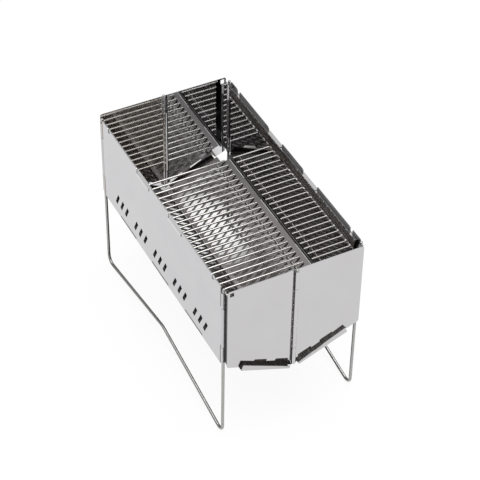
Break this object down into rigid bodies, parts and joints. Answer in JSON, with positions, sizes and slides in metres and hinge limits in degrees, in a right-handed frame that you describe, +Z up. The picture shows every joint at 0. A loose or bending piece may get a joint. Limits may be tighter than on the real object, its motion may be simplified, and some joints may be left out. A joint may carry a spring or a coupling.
{
  "type": "folding fire pit",
  "caption": "Open rectangular fire pit of stainless sheet with folding ends, a pierced V-shaped bed, a lift-out rod grate and wire leg frames.",
  "frame": {"origin": "on the ground under the middle of the open pit", "axes": "+X along the length to the near end, +Y to the back, +Z up"},
  "size_m": [0.3844, 0.193, 0.2564],
  "materials": {
    "front_panel": "mirror-polished stainless steel sheet",
    "back_panel": "mirror-polished stainless steel sheet",
    "front_liner": "mirror-polished stainless steel sheet",
    "back_liner": "mirror-polished stainless steel sheet",
    "near_end_front_half": "mirror-polished stainless steel sheet",
    "near_end_back_half": "mirror-polished stainless steel sheet",
    "far_end_front_half": "mirror-polished stainless steel sheet",
    "far_end_back_half": "mirror-polished stainless steel sheet",
    "near_end_hinge_pin": "drawn stainless steel wire",
    "far_end_hinge_pin": "drawn stainless steel wire",
    "front_leg_frame": "drawn stainless steel wire",
    "back_leg_frame": "drawn stainless steel wire",
    "front_bed_plate": "mill-bright stainless steel sheet, pierced",
    "back_bed_plate": "mill-bright stainless steel sheet, pierced",
    "front_bed_hinge_pin": "drawn stainless steel wire",
    "back_bed_hinge_pin": "drawn stainless steel wire",
    "grate_rods": "drawn stainless steel wire",
    "grate_front_wire": "drawn stainless steel wire",
    "grate_back_wire": "drawn stainless steel wire"
  },
  "bodies": {
    "front": {"front_panel": "front_panel", "front_bed_hinge_pin": "front_bed_hinge_pin"},
    "near_front": {"near_end_front_half": "near_end_front_half", "near_end_hinge_pin": "near_end_hinge_pin"},
    "near_back": {"near_end_back_half": "near_end_back_half"},
    "back": {"back_panel": "back_panel", "back_bed_hinge_pin": "back_bed_hinge_pin"},
    "far_front": {"far_end_front_half": "far_end_front_half", "far_end_hinge_pin": "far_end_hinge_pin"},
    "far_back": {"far_end_back_half": "far_end_back_half"},
    "bed_front": {"front_bed_plate": "front_bed_plate"},
    "bed_back": {"back_bed_plate": "back_bed_plate"},
    "grate": {"grate_rods": "grate_rods", "grate_front_wire": "grate_front_wire", "grate_back_wire": "grate_back_wire"},
    "liner_front": {"front_liner": "front_liner"},
    "liner_back": {"back_liner": "back_liner"},
    "leg_front": {"front_leg_frame": "front_leg_frame"},
    "leg_back": {"back_leg_frame": "back_leg_frame"}
  },
  "joints": [
    {"name": "fold", "type": "hinge", "parent": "front", "child": "near_front", "pos_m": [0.1784, -0.0934, 0.127], "axis": [0, 0, 1], "range_deg": [0, 74]},
    {"name": "near_end_fold", "type": "hinge", "parent": "near_front", "child": "near_back", "pos_m": [0.188, 0, 0.127], "axis": [0, 0, 1], "range_deg": [-148, 0]},
    {"name": "back_corner_fold", "type": "hinge", "parent": "near_back", "child": "back", "pos_m": [0.1784, 0.0934, 0.127], "axis": [0, 0, 1], "range_deg": [0, 74]},
    {"name": "far_corner_fold", "type": "hinge", "parent": "front", "child": "far_front", "pos_m": [-0.1784, -0.0934, 0.127], "axis": [0, 0, 1], "range_deg": [-74, 0]},
    {"name": "far_end_fold", "type": "hinge", "parent": "far_front", "child": "far_back", "pos_m": [-0.188, 0, 0.127], "axis": [0, 0, 1], "range_deg": [0, 148]},
    {"name": "front_bed_drop", "type": "hinge", "parent": "front", "child": "bed_front", "pos_m": [0, -0.0926, 0.127], "axis": [-1, 0, 0], "range_deg": [0, 50.32]},
    {"name": "back_bed_drop", "type": "hinge", "parent": "back", "child": "bed_back", "pos_m": [0, 0.0926, 0.127], "axis": [1, 0, 0], "range_deg": [0, 50.32]},
    {"name": "grate_lift", "type": "slide", "parent": "front", "child": "grate", "axis": [0, 0, 1], "range_m": [0, 1.94]},
    {"name": "front_liner_lift", "type": "slide", "parent": "front", "child": "liner_front", "axis": [0, 0, 1], "range_m": [0, 0.13]},
    {"name": "back_liner_lift", "type": "slide", "parent": "back", "child": "liner_back", "axis": [0, 0, 1], "range_m": [0, 0.13]},
    {"name": "front_leg_slide", "type": "slide", "parent": "front", "child": "leg_front", "axis": [0, 0, 1], "range_m": [0, 0.075]},
    {"name": "back_leg_slide", "type": "slide", "parent": "back", "child": "leg_back", "axis": [0, 0, 1], "range_m": [0, 0.075]}
  ],
  "couplings": [
    {"joint": "near_end_fold", "follows": "fold", "ratio": -2},
    {"joint": "back_corner_fold", "follows": "fold", "ratio": 1},
    {"joint": "far_corner_fold", "follows": "fold", "ratio": -1},
    {"joint": "far_end_fold", "follows": "fold", "ratio": 2},
    {"joint": "front_bed_drop", "follows": "fold", "ratio": 0.68},
    {"joint": "back_bed_drop", "follows": "fold", "ratio": 0.68},
    {"joint": "grate_lift", "follows": "fold", "m_per_rad": 1.5}
  ]
}
